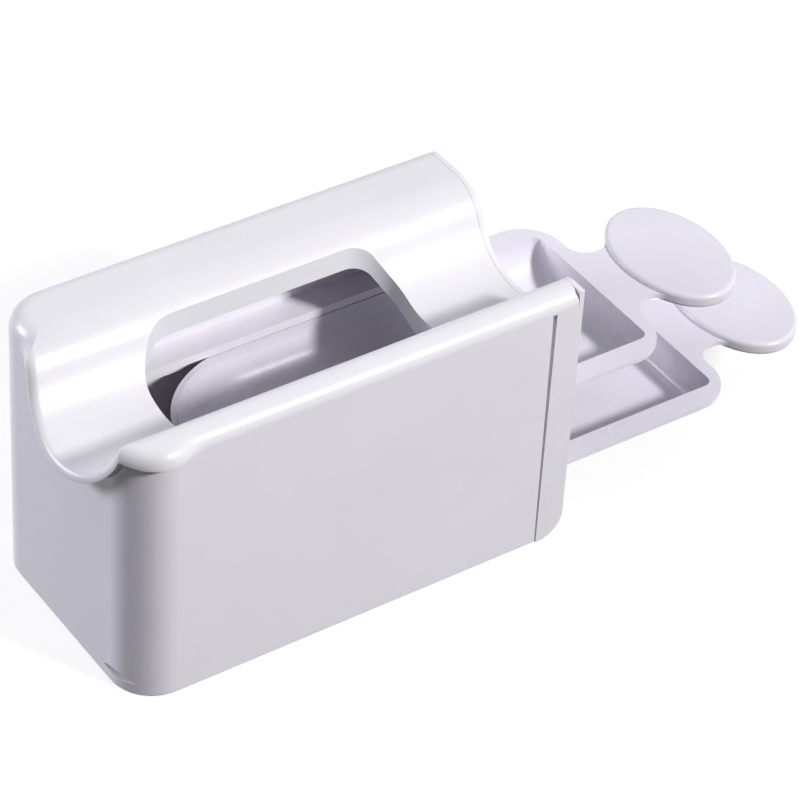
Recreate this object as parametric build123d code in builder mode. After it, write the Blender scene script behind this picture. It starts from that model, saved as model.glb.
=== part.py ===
from build123d import *
import os

os.makedirs("parts", exist_ok=True)

# Frame: origin at the bottom centre of the box, +X towards the tray end, -Y the
# front, +Z up. Millimetres.

# Box
box_length = 130.0
box_width = 70.0
wall = 2.0
corner_radius = 12.0
wall_top = 76.0
base_height = 3.6
base_edge_radius = 0.8
rib_thickness = 1.6
rib_height = 3.0
seat_gap = 0.15

# Saddle cover
lip_top = 80.6
plateau_top = 82.0
trough_centre_y = -8.0
trough_centre_z = 82.5
trough_radius = 18.8
lip_radius = 4.0
knee_radius = 12.0
back_edge_radius = 5.6
cover_thickness = 2.6
cover_gap = 0.1
spout_reach = 6.4
spout_bow = 5.96
spout_centre_y = -6.0
spout_overhang = 2.0
spout_corner_radius = 10.0
spout_blend_radius = 12.0
spout_edge_radius = 2.0
hollow_inset = 18.0

# Slot through the saddle, with its collar
slot_length = 76.0
slot_centre_x = -2.0
slot_front_margin = 2.3
slot_back_margin = 0.8
slot_corner_radius = 12.0
collar_thickness = 1.8
collar_depth = 6.6
slot_edge_radius = 0.9

# Tray-end frame
frame_thickness = 8.05
frame_rim = 1.4
frame_corner_radius = 7.5
slit_top = 1.2
slit_bottom = 0.5
sleeve_length = 11.0
sleeve_thickness = 1.6

# Trays
tray_overhang = 3.3
tray_width = 53.0
tray_depth = 13.0
tray_wall = 1.5
tray_bottom_radius = 12.4
tray_rear_length = 32.0
room_front_radius = 2.5
flange_clearance = 0.6
flange_thickness = 1.3
flange_front = 3.9
flange_start = 50.0
flange_corner_radius = 12.0
flange_rear_radius = 5.0
tray_gap = 0.4
neck_width = 23.0
neck_fillet = 6.0
disc_length = 29.6
disc_width = 43.5
disc_thickness = 4.0
disc_rise = 1.5
disc_offset = 22.0
disc_edge_radius = 1.2
disc_root_fillet = 4.0
rear_gap = 0.8
tray_rims = {"upper_tray": 46.6, "lower_tray": 20.6}
tray_pulls = {"upper_tray": 31.9, "lower_tray": 56.6}

# Prying notch in the shell's lower edge, at the front corner of the closed end
notch_radius = 9.0
notch_height = 2.0
notch_depth = 2.6
notch_turn = 12.0

# Guide racks
rack_web = 1.0
ledge_thickness = 2.4
ledge_lap = 1.5
rest_lap = 2.6

# Room left beyond a face when cutting or picking
cut_margin = 1.0

half_length = box_length / 2
half_width = box_width / 2
closed_end = -half_length
frame_start = half_length - frame_thickness
cover_end = half_length - frame_rim - cover_gap
shell_end_top = frame_start - slit_top
shell_end_bottom = frame_start - slit_bottom
rack_start = closed_end + corner_radius + wall
rack_top = max(tray_rims.values()) + tray_gap + ledge_thickness
rear_closed = closed_end + wall + rear_gap
tray_length = half_length + tray_overhang - rear_closed
flange_width = box_width - 2 * (wall + rack_web + flange_clearance)
slot_front_y = trough_centre_y - trough_radius + slot_front_margin
slot_back_y = trough_centre_y + trough_radius + slot_back_margin


def plan_outline(inset, end_x):
    """Plan of the box, rounded at the closed end, drawn in by inset and ending square at end_x."""
    with BuildSketch() as outline:
        width = box_width - 2 * inset
        with Locations(((closed_end + inset + end_x) / 2, 0)):
            Rectangle(end_x - closed_end - inset, width)
        fillet(outline.vertices().group_by(Axis.X)[0], corner_radius - inset)
    return outline.sketch


def cover_outline():
    """Plan of the cover: the box's plan, with the trough's closed end bowed out as a spout."""
    corner_x = closed_end - spout_reach + spout_bow + spout_corner_radius
    corner_y = spout_corner_radius - half_width - spout_overhang
    half_chord = spout_centre_y - corner_y
    swing_radius = (half_chord**2 + spout_bow**2) / (2 * spout_bow)
    bow_radius = swing_radius + spout_corner_radius
    bow_x = closed_end - spout_reach + bow_radius
    bow_end_y = spout_centre_y - bow_radius * half_chord / swing_radius
    with BuildSketch() as bow:
        with Locations((bow_x, spout_centre_y)):
            Circle(bow_radius)
        with Locations((closed_end, bow_end_y)):
            Rectangle(
                2 * corner_radius,
                half_width - corner_radius - bow_end_y,
                align=(Align.CENTER, Align.MIN),
                mode=Mode.INTERSECT,
            )
    with BuildSketch() as outline:
        add(plan_outline(0, cover_end))
        add(bow.sketch)
        with Locations((corner_x, corner_y)):
            Circle(spout_corner_radius)
        side_root = Vertex(corner_x + spout_corner_radius, -half_width, 0)
        fillet(outline.vertices().sort_by_distance(side_root)[0], spout_blend_radius)
        end_roots = outline.vertices().filter_by_position(Axis.X, closed_end - wall, closed_end + wall)
        fillet(end_roots.sort_by(Axis.Y)[-2], spout_blend_radius)
    return outline.sketch


def saddle_section(front_y, back_radius):
    """Section under the saddle: front lip, trough, knee and back plateau."""
    with BuildSketch(Plane.YZ) as section:
        with BuildLine():
            Polyline(
                (front_y, 0),
                (front_y, lip_top),
                (trough_centre_y, lip_top),
                (trough_centre_y, plateau_top),
                (half_width, plateau_top),
                (half_width, 0),
                close=True,
            )
        make_face()
        with Locations((trough_centre_y, trough_centre_z)):
            Circle(trough_radius, mode=Mode.SUBTRACT)
        corners = {
            (half_width, plateau_top): back_radius,
            (trough_centre_y + trough_radius, plateau_top): knee_radius,
            (trough_centre_y - trough_radius, lip_top): lip_radius,
        }
        for place, radius in corners.items():
            if radius > 0:
                nearest = section.vertices().sort_by_distance(Vertex(*place, 0))[0]
                fillet(nearest, radius)
    return section.sketch


def seat_section(width, gap):
    """Section under the cover: level wall tops, dipping under the trough."""
    with BuildSketch(Plane.YZ) as section:
        with Locations((0, wall_top / 2)):
            Rectangle(width, wall_top)
        with Locations((trough_centre_y, trough_centre_z)):
            Circle(trough_radius + cover_thickness + gap, mode=Mode.SUBTRACT)
    return section.sketch


def tray_section(rim, gap):
    """Section of a tray's basin and flanges, grown by gap, in section coordinates (Y, Z)."""
    with BuildSketch() as section:
        with Locations((0, rim - tray_depth / 2)):
            Rectangle(tray_width + 2 * gap, tray_depth + 2 * gap)
        fillet(section.vertices().group_by(Axis.Y)[0], tray_bottom_radius + gap)
        with Locations((0, rim - flange_thickness / 2)):
            Rectangle(flange_width + 2 * gap, flange_thickness + 2 * gap)
    return section.sketch


def slot_outline(growth):
    """Plan of the slot, grown all round."""
    with BuildSketch(Plane.XY.offset(wall_top / 2)) as outline:
        with Locations((slot_centre_x, (slot_front_y + slot_back_y) / 2)):
            RectangleRounded(
                slot_length + 2 * growth,
                slot_back_y - slot_front_y + 2 * growth,
                slot_corner_radius + growth,
            )
    return outline.sketch


def cover_limit(top, edge_radius, side):
    """The cover's plan raised to top, its upper edges rounded, on one side of the trough's middle."""
    with BuildPart() as limit:
        extrude(cover_plan, amount=top)
        upper = limit.faces().sort_by(Axis.Z)[-1]
        fillet(upper.edges().sort_by(Axis.X)[:-1], edge_radius)
        split(bisect_by=Plane.XZ.offset(-trough_centre_y), keep=side)
    return limit.part


def at_x(section, x):
    """The same section moved along the box."""
    return section.moved(Location((x, 0, 0)))


reach = 2 * box_length
saddle = saddle_section(-half_width - spout_overhang, 0)
rim_saddle = saddle_section(-half_width, back_edge_radius)
collar_floor = saddle.moved(Location((0, 0, -collar_depth)))
seat = seat_section(box_width + 2 * spout_overhang, 0)
seat_with_gap = seat_section(box_width, cover_gap)
cover_plan = cover_outline()
slot_plan = slot_outline(0)
collar_plan = slot_outline(collar_thickness)
shell_plan = plan_outline(0, frame_start)
shell_room = plan_outline(wall, box_length)
rib_plan = plan_outline(wall + seat_gap, frame_start - sleeve_length)
rib_room = plan_outline(wall + seat_gap + rib_thickness, box_length)

with BuildSketch(Plane.XZ) as shell_side:
    with BuildLine():
        Polyline(
            (closed_end - wall, 0),
            (shell_end_bottom, 0),
            (shell_end_top, wall_top),
            (closed_end - wall, wall_top),
            close=True,
        )
    make_face()

# Saddle cover: front lip, open trough and back plateau, seated on the wall tops
with BuildPart() as cover_limits:
    add(cover_limit(lip_top, lip_radius, Keep.TOP))
    add(cover_limit(plateau_top, back_edge_radius, Keep.BOTTOM))

with BuildPart() as saddle_cover:
    extrude(cover_plan, amount=plateau_top)
    extrude(saddle, amount=reach, both=True, mode=Mode.INTERSECT)
    spout_tip = (closed_end - spout_reach, trough_centre_y, trough_centre_z - trough_radius)
    spout_edge = saddle_cover.edges().sort_by_distance(spout_tip)[0]
    fillet(spout_edge, spout_edge_radius)
    add(cover_limits.part, mode=Mode.INTERSECT)
    extrude(seat, amount=reach, both=True, mode=Mode.SUBTRACT)
    with BuildSketch(Plane.XY.offset(wall_top)):
        hollow_front = trough_centre_y + trough_radius + cover_thickness
        hollow_back = half_width - cover_thickness
        with Locations(((closed_end + cover_end) / 2, (hollow_front + hollow_back) / 2)):
            Rectangle(cover_end - closed_end - hollow_inset, hollow_back - hollow_front)
    extrude(amount=plateau_top - cover_thickness - wall_top, mode=Mode.SUBTRACT)
    extrude(slot_plan, amount=reach, both=True, mode=Mode.SUBTRACT)

with BuildPart() as collar:
    extrude(collar_plan, amount=plateau_top + cut_margin)
    extrude(slot_plan, amount=reach, both=True, mode=Mode.SUBTRACT)
    extrude(saddle, amount=reach, both=True, mode=Mode.INTERSECT)
    extrude(collar_floor, amount=reach, both=True, mode=Mode.SUBTRACT)

with saddle_cover:
    add(collar.part)
    slot_back_edge = (slot_centre_x, slot_back_y, plateau_top)
    fillet(saddle_cover.edges().sort_by_distance(slot_back_edge)[0], slot_edge_radius)
saddle_cover.part.label = "saddle_cover"
export_step(saddle_cover.part, "parts/saddle_cover.step")

# Body shell: front, back and rounded closed end, its end wall cut to the trough
with BuildPart() as body_shell:
    extrude(shell_plan, amount=wall_top)
    extrude(shell_room, amount=wall_top, mode=Mode.SUBTRACT)
    extrude(seat_with_gap, amount=reach, both=True, mode=Mode.INTERSECT)
    extrude(shell_side.sketch, amount=reach, both=True, mode=Mode.INTERSECT)
    with BuildSketch():
        Rectangle(reach, reach)
    extrude(amount=base_height, mode=Mode.SUBTRACT)
    corner = (closed_end + corner_radius, corner_radius - half_width, base_height)
    notch_plane = Plane(corner).rotated((0, 0, notch_turn))
    notch_axis = Plane(
        origin=corner,
        x_dir=-notch_plane.y_dir,
        z_dir=-notch_plane.x_dir,
    )
    with BuildSketch(notch_axis.offset(corner_radius - notch_depth)):
        with Locations((0, notch_height - notch_radius)):
            Circle(notch_radius)
    extrude(amount=corner_radius, mode=Mode.SUBTRACT)
body_shell.part.label = "body_shell"
export_step(body_shell.part, "parts/body_shell.step")

# Base plate: a flush plate with a locating rib inside the walls
with BuildPart() as base_plate:
    extrude(shell_plan, amount=base_height)
    extrude(shell_side.sketch, amount=reach, both=True, mode=Mode.INTERSECT)
    with BuildSketch(Plane.XY.offset(base_height)):
        add(rib_plan)
        add(rib_room, mode=Mode.SUBTRACT)
    extrude(amount=rib_height)
    bottom = base_plate.faces().sort_by(Axis.Z)[0]
    fillet(bottom.edges(), base_edge_radius)
base_plate.part.label = "base_plate"
export_step(base_plate.part, "parts/base_plate.step")

# End frame: a plate under the cover's end with a window for each tray, a rim beyond the
# cover, and two cheeks that slide into the shell
with BuildSketch(Plane.YZ) as windows:
    for rim in tray_rims.values():
        add(tray_section(rim, tray_gap))
with BuildSketch(Plane.XZ) as frame_side:
    with Locations((frame_start, 0)):
        Rectangle(frame_thickness, plateau_top, align=(Align.MIN, Align.MIN))
    foot = frame_side.vertices().sort_by_distance(Vertex(half_length, 0, 0))[0]
    fillet(foot, frame_corner_radius)
with BuildPart() as end_frame:
    extrude(at_x(seat_with_gap, frame_start), amount=frame_thickness - frame_rim)
    extrude(at_x(rim_saddle, half_length - frame_rim), amount=frame_rim)
    extrude(frame_side.sketch, amount=reach, both=True, mode=Mode.INTERSECT)
    extrude(windows.sketch, amount=reach, both=True, mode=Mode.SUBTRACT)
    cheek_gap = 2 * (half_width - wall - seat_gap) - sleeve_thickness
    cheek_foot = rack_top + seat_gap
    cheek_height = wall_top - cover_thickness - cheek_foot
    with BuildSketch(Plane.YZ.offset(frame_start)):
        with Locations((0, cheek_foot + cheek_height / 2)):
            with GridLocations(cheek_gap, 1, 2, 1):
                Rectangle(sleeve_thickness, cheek_height)
    extrude(amount=-sleeve_length)
end_frame.part.label = "end_frame"
export_step(end_frame.part, "parts/end_frame.step")

# Guide racks: on each long wall, a web with a wide ledge over each tray's flange and a
# narrow rest under it
rack_y = half_width - wall
ledge_width = rack_y - tray_width / 2 + ledge_lap
rest_width = rack_y - flange_width / 2 + rest_lap
rack_foot = base_height + rib_height + seat_gap
with BuildSketch(Plane.YZ) as rack_section:
    with Locations((rack_y, rack_foot)):
        Rectangle(rack_web, rack_top - rack_foot, align=(Align.MAX, Align.MIN))
    for rim in tray_rims.values():
        rest_top = rim - flange_thickness - tray_gap
        with Locations((rack_y, rim + tray_gap)):
            Rectangle(ledge_width, ledge_thickness, align=(Align.MAX, Align.MIN))
        with Locations((rack_y, rest_top)):
            Rectangle(rest_width, ledge_thickness, align=(Align.MAX, Align.MAX))
        add(tray_section(rim, tray_gap), mode=Mode.SUBTRACT)
with BuildPart() as back_guide_rack:
    extrude(at_x(rack_section.sketch, rack_start), amount=frame_start - rack_start)
back_guide_rack.part.label = "back_guide_rack"
export_step(back_guide_rack.part, "parts/back_guide_rack.step")

with BuildPart() as front_guide_rack:
    mirror(back_guide_rack.part, about=Plane.XZ)
front_guide_rack.part.label = "front_guide_rack"
export_step(front_guide_rack.part, "parts/front_guide_rack.step")


def scoop_plan(rear_x, front_x, inset):
    """Plan of a tray: a rounded rear and straight sides up to front_x."""
    side = tray_width / 2 - inset
    shoulder_x = rear_x + tray_rear_length
    with BuildSketch() as plan:
        with Locations(((shoulder_x + front_x) / 2, 0)):
            Rectangle(front_x - shoulder_x, 2 * side)
        with Locations((shoulder_x, 0)):
            Ellipse(tray_rear_length - inset, side)
    return plan.sketch


# Trays: scoops with a rounded rear, side flanges, and a thumb disc on a neck
for tray_name, rim in tray_rims.items():
    rear_x = rear_closed + tray_pulls[tray_name]
    front_x = rear_x + tray_length
    basin_front_x = front_x - flange_front + tray_wall
    disc_x = front_x + disc_offset
    with BuildPart() as scoop_room:
        with BuildSketch(Plane.XY.offset(rim + cut_margin)):
            add(scoop_plan(rear_x, basin_front_x - tray_wall, tray_wall))
        extrude(amount=-(tray_depth - tray_wall + cut_margin))
        floor = scoop_room.faces().sort_by(Axis.Z)[0]
        fillet(floor.edges().sort_by(Axis.X)[:-1], tray_bottom_radius - tray_wall)
        room_front = scoop_room.faces().sort_by(Axis.X)[-1]
        fillet(room_front.edges().sort_by(Axis.Z)[:-1], room_front_radius)
    with BuildPart() as tray:
        with BuildSketch(Plane.XY.offset(rim)):
            add(scoop_plan(rear_x, basin_front_x, 0))
        extrude(amount=-tray_depth)
        floor = tray.faces().sort_by(Axis.Z)[0]
        fillet(floor.edges().sort_by(Axis.X)[:-1], tray_bottom_radius)
        basin_front = tray.faces().sort_by(Axis.X)[-1]
        fillet(basin_front.edges().sort_by(Axis.Z)[:-1], room_front_radius + tray_wall)
        with BuildSketch(Plane.XY.offset(rim)) as flange_plan:
            flange_rear = rear_x + flange_start
            with Locations((flange_rear, 0)):
                Rectangle(front_x - flange_rear, flange_width, align=(Align.MIN, Align.CENTER))
            fillet(flange_plan.vertices().group_by(Axis.X)[0], flange_rear_radius)
            fillet(flange_plan.vertices().group_by(Axis.X)[-1], flange_corner_radius)
            with Locations((front_x, 0)):
                Rectangle(2 * disc_offset, neck_width)
            near_front = (front_x - cut_margin, front_x + cut_margin)
            roots = flange_plan.vertices().filter_by_position(Axis.X, *near_front)
            fillet(roots.sort_by(Axis.Y)[1:-1], neck_fillet)
            with Locations((disc_x, 0)):
                Ellipse(disc_length / 2, disc_width / 2)
            fillet(flange_plan.vertices().group_by(Axis.X)[-2], disc_root_fillet)
        extrude(amount=-flange_thickness)
        add(scoop_room.part, mode=Mode.SUBTRACT)
    with BuildPart() as disc:
        with BuildSketch(Plane.XY.offset(rim + disc_rise)):
            with Locations((disc_x, 0)):
                Ellipse(disc_length / 2, disc_width / 2)
        extrude(amount=-disc_thickness)
        fillet(disc.edges().filter_by(GeomType.ELLIPSE), disc_edge_radius)
    with tray:
        add(disc.part)
    tray.part.label = tray_name
    export_step(tray.part, f"parts/{tray_name}.step")
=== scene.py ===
import math

import bpy
from mathutils import Matrix, Vector

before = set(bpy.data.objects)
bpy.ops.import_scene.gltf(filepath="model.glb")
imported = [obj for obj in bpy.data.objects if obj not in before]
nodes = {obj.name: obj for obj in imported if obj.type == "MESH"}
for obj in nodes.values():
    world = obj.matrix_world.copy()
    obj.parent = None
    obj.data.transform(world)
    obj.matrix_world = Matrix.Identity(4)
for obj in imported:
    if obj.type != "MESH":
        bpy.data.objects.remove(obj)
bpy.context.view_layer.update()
print("frame loaded:", len(nodes), "pieces")


def toLinear(hexColour):  # sRGB hex to linear RGBA
    channels = [int(hexColour[i:i + 2], 16) / 255 for i in (1, 3, 5)]
    return [c / 12.92 if c <= 0.04045 else ((c + 0.055) / 1.055) ** 2.4 for c in channels] + [1]


def addNode(tree, kind, settings, links):
    node = tree.nodes.new(kind)
    for name, value in settings.items():
        if name in node.inputs:
            node.inputs[name].default_value = value
        else:
            setattr(node, name, value)
    for name, source in links.items():
        tree.links.new(source, node.inputs[name])
    return node


def perMillimetre(size):  # pattern scale for a feature of this many millimetres
    return 1000 / size


# Injection-moulded ABS: a white pigmented plastic from a polished or satin tool. It shows a
# soft even sheen, a faint waviness from shrinkage, and a very fine skin grain.
def mouldedAbs(look):
    material = bpy.data.materials.new(look["name"])
    material.use_nodes = True
    tree = material.node_tree
    tree.nodes.clear()
    place = addNode(tree, "ShaderNodeTexCoord", {}, {})
    turned = addNode(tree, "ShaderNodeMapping", {"Location": look["shift"], "Rotation": (0, 0, look["turn"])},
                     {"Vector": place.outputs["Object"]})
    blush = addNode(tree, "ShaderNodeTexNoise",
                    {"Scale": perMillimetre(look["blushMm"]), "Detail": 3, "Roughness": 0.55},
                    {"Vector": turned.outputs["Vector"]})
    tint = addNode(tree, "ShaderNodeValToRGB", {}, {"Fac": blush.outputs["Fac"]})
    tint.color_ramp.elements[0].position = look["blushFrom"]
    tint.color_ramp.elements[0].color = toLinear(look["shade"])
    tint.color_ramp.elements[1].position = look["blushTo"]
    tint.color_ramp.elements[1].color = toLinear(look["colour"])
    handling = addNode(tree, "ShaderNodeTexNoise",
                       {"Scale": perMillimetre(look["handlingMm"]), "Detail": 3, "Roughness": 0.5, "Distortion": 0.3},
                       {"Vector": place.outputs["Object"]})
    sheen = addNode(tree, "ShaderNodeMapRange",
                    {"From Min": look["handledFrom"], "From Max": look["handledTo"], "To Min": look["roughness"],
                     "To Max": look["roughness"] + look["handledRoughness"]},
                    {"Value": handling.outputs["Fac"]})
    ripple = addNode(tree, "ShaderNodeTexNoise", {"Scale": perMillimetre(look["rippleMm"]), "Detail": 1},
                     {"Vector": turned.outputs["Vector"]})
    grain = addNode(tree, "ShaderNodeTexNoise",
                    {"Scale": perMillimetre(look["grainMm"]), "Detail": 2, "Roughness": 0.7},
                    {"Vector": place.outputs["Object"]})
    wavy = addNode(tree, "ShaderNodeBump", {"Strength": 1, "Distance": look["rippleDepthMm"] / 1000},
                   {"Height": ripple.outputs["Fac"]})
    skin = addNode(tree, "ShaderNodeBump", {"Strength": 1, "Distance": look["grainDepthMm"] / 1000},
                   {"Height": grain.outputs["Fac"], "Normal": wavy.outputs["Normal"]})
    shader = addNode(tree, "ShaderNodeBsdfPrincipled",
                     {"IOR": look["ior"], "Metallic": 0, "Specular IOR Level": look["specular"]},
                     {"Base Color": tint.outputs["Color"], "Roughness": sheen.outputs["Result"],
                      "Normal": skin.outputs["Normal"]})
    addNode(tree, "ShaderNodeOutputMaterial", {}, {"Surface": shader.outputs["BSDF"]})
    return material


def dress(nodeNames, material):  # every face of a piece takes the one finish
    for name in nodeNames:
        for slot in nodes[name].material_slots:
            slot.material = material


# Saddle cover: a satin top that spreads the highlights along the trough
coverLook = {
    "name": "mouldedAbsCoverSatin",
    "colour": "#E9E9EB",
    "shade": "#E5E5E8",
    "shift": (0.013, 0.021, 0),
    "turn": 0.2,
    "blushMm": 38,
    "blushFrom": 0.32,
    "blushTo": 0.68,
    "handlingMm": 14,
    "handledFrom": 0.3,
    "handledTo": 0.75,
    "roughness": 0.3,
    "handledRoughness": 0.05,
    "rippleMm": 16,
    "rippleDepthMm": 0.05,
    "grainMm": 0.7,  # real grain is near 0.05 mm, drawn coarser so that it shows
    "grainDepthMm": 0.002,
    "ior": 1.54,
    "specular": 0.5,
}
dress(["saddle_cover"], mouldedAbs(coverLook))
print("saddle cover finished")

# Body shell and base plate: the same plastic, a shade cooler
shellLook = dict(coverLook, name="mouldedAbsShellGloss", colour="#ECE9F1", shade="#E8E5EE",
                 shift=(0.05, 0, 0.01), turn=1.1, roughness=0.2, handledRoughness=0.05)
shellPlastic = mouldedAbs(shellLook)
dress(["body_shell"], shellPlastic)
baseLook = dict(shellLook, name="mouldedAbsBaseGloss", roughness=0.24)
dress(["base_plate"], mouldedAbs(baseLook))
frameLook = dict(shellLook, name="mouldedAbsFrameGloss", colour="#EBEAEF", shade="#E7E6EC", shift=(0, 0.03, 0.04))
dress(["end_frame"], mouldedAbs(frameLook))
# Guide racks: the shell's plastic, drawn lighter than the shell. The extra lightness is painted light for the bright
# patch that falls through the slot onto the back ledge.
rackLookPaintedLight = dict(shellLook, name="mouldedAbsRackSatinPaintedLight", colour="#F4F2F7", shade="#F0EEF4",
                shift=(0.01, 0, 0.03), roughness=0.38, grainMm=0.9, grainDepthMm=0.004)
dress(["back_guide_rack", "front_guide_rack"], mouldedAbs(rackLookPaintedLight))
print("box finished")

# Trays: thinner mouldings with a slightly softer gloss than the box
trayLook = dict(coverLook, name="mouldedAbsTrayGloss", colour="#E6E4EC", shade="#E2E0E9",
                shift=(0.03, 0.01, 0.02), turn=0.7, blushMm=30, roughness=0.25, handledRoughness=0.06)
dress(["upper_tray", "lower_tray"], mouldedAbs(trayLook))
print("trays finished")

# Floor: a lit pale sheet of matt card, which keeps only faint shadows and throws no light up
floorLook = {
    "name": "mattCardFloor",
    "colour": "#8A8A8B",
    "shade": "#878789",
    "glow": 0.8,
    "roughness": 0.9,
    "specular": 0.2,
    "size": 8.0,
    "fibreMm": 3.0,
}


def makeFloor(look):
    bpy.ops.mesh.primitive_plane_add(size=look["size"], location=(0, 0, 0))
    floor = bpy.context.object
    floor.name = "floor"
    material = bpy.data.materials.new(look["name"])
    material.use_nodes = True
    tree = material.node_tree
    tree.nodes.clear()
    place = addNode(tree, "ShaderNodeTexCoord", {}, {})
    fibre = addNode(tree, "ShaderNodeTexNoise", {"Scale": perMillimetre(look["fibreMm"]), "Detail": 4},
                    {"Vector": place.outputs["Object"]})
    tint = addNode(tree, "ShaderNodeValToRGB", {}, {"Fac": fibre.outputs["Fac"]})
    tint.color_ramp.elements[0].color = toLinear(look["shade"])
    tint.color_ramp.elements[1].color = toLinear(look["colour"])
    shader = addNode(tree, "ShaderNodeBsdfPrincipled",
                     {"Roughness": look["roughness"], "Specular IOR Level": look["specular"],
                      "Emission Color": (1, 1, 1, 1), "Emission Strength": look["glow"]},
                     {"Base Color": tint.outputs["Color"]})
    addNode(tree, "ShaderNodeOutputMaterial", {}, {"Surface": shader.outputs["BSDF"]})
    floor.data.materials.append(material)
    floor.visible_diffuse = False


makeFloor(floorLook)
print("floor laid")

# Soft studio light: a dome that is brightest overhead and towards the trays, a small softbox
# at the right front, which reaches in through the slot, and one behind on the left
studio = {
    "room": "#F1F0F8",
    "brightSide": (0.5, 0.25, 0.83),
    "darkFrom": -0.35,
    "darkStrength": 0.0,
    "brightStrength": 0.58,
    "front": {"place": (0.466, -1.0, 0.862), "aimAt": (0, 0, 0.05), "size": 0.15, "power": 16.4,
              "colour": "#FFFDFE"},
    "behind": {"place": (-0.852, 0.715, 0.45), "aimAt": (0, 0, 0.05), "size": 0.45, "power": 9.0,
               "colour": "#F6F5FF"},
}


def aim(place, target):
    return (Vector(target) - Vector(place)).to_track_quat("-Z", "Y").to_euler()


def hangSoftbox(name, look):
    lamp = bpy.data.lights.new(name, "AREA")
    lamp.shape = "SQUARE"
    lamp.size = look["size"]
    lamp.energy = look["power"]
    lamp.color = toLinear(look["colour"])[:3]
    softbox = bpy.data.objects.new(name, lamp)
    softbox.location = look["place"]
    softbox.rotation_euler = aim(look["place"], look["aimAt"])
    bpy.context.collection.objects.link(softbox)


def lightStudio(look):
    world = bpy.data.worlds.new("paleRoom")
    world.use_nodes = True
    tree = world.node_tree
    background = tree.nodes["Background"]
    background.inputs["Color"].default_value = toLinear(look["room"])
    skyward = addNode(tree, "ShaderNodeTexCoord", {}, {})
    facing = addNode(tree, "ShaderNodeVectorMath", {"operation": "DOT_PRODUCT"},
                     {"Vector": skyward.outputs["Generated"]})
    facing.inputs[1].default_value = look["brightSide"]
    dome = addNode(tree, "ShaderNodeMapRange",
                   {"From Min": look["darkFrom"], "From Max": 1, "To Min": look["darkStrength"],
                    "To Max": look["brightStrength"]},
                   {"Value": facing.outputs["Value"]})
    tree.links.new(dome.outputs["Result"], background.inputs["Strength"])
    bpy.context.scene.world = world
    hangSoftbox("frontSoftbox", look["front"])
    hangSoftbox("behindSoftbox", look["behind"])


lightStudio(studio)
bpy.context.scene.view_settings.view_transform = "Standard"
print("studio lit")

# Camera: high three-quarter view from the front left, with a slight roll
viewpoint = {
    "place": (-0.4049, -0.6, 0.6447),
    "azimuth": math.radians(-36.28),
    "elevation": math.radians(39.441),
    "roll": math.radians(3.725),
    "lens": 166.73,
    "sensorWidth": 36,
    "farthest": 50,
}


def makeCamera(look):
    azimuth, elevation, roll = look["azimuth"], look["elevation"], look["roll"]
    outward = Vector((math.sin(azimuth), -math.cos(azimuth), 0))
    back = math.cos(elevation) * outward + math.sin(elevation) * Vector((0, 0, 1))
    right = Vector((math.cos(azimuth), math.sin(azimuth), 0))
    up = back.cross(right)
    tiltedRight = math.cos(roll) * right + math.sin(roll) * up
    tiltedUp = math.cos(roll) * up - math.sin(roll) * right
    data = bpy.data.cameras.new("camera")
    data.lens = look["lens"]
    data.sensor_width = look["sensorWidth"]
    data.clip_end = look["farthest"]
    camera = bpy.data.objects.new("camera", data)
    turned = Matrix((tiltedRight, tiltedUp, back)).transposed().to_4x4()
    camera.matrix_world = Matrix.Translation(look["place"]) @ turned
    bpy.context.collection.objects.link(camera)
    bpy.context.scene.camera = camera


makeCamera(viewpoint)
print("camera placed")
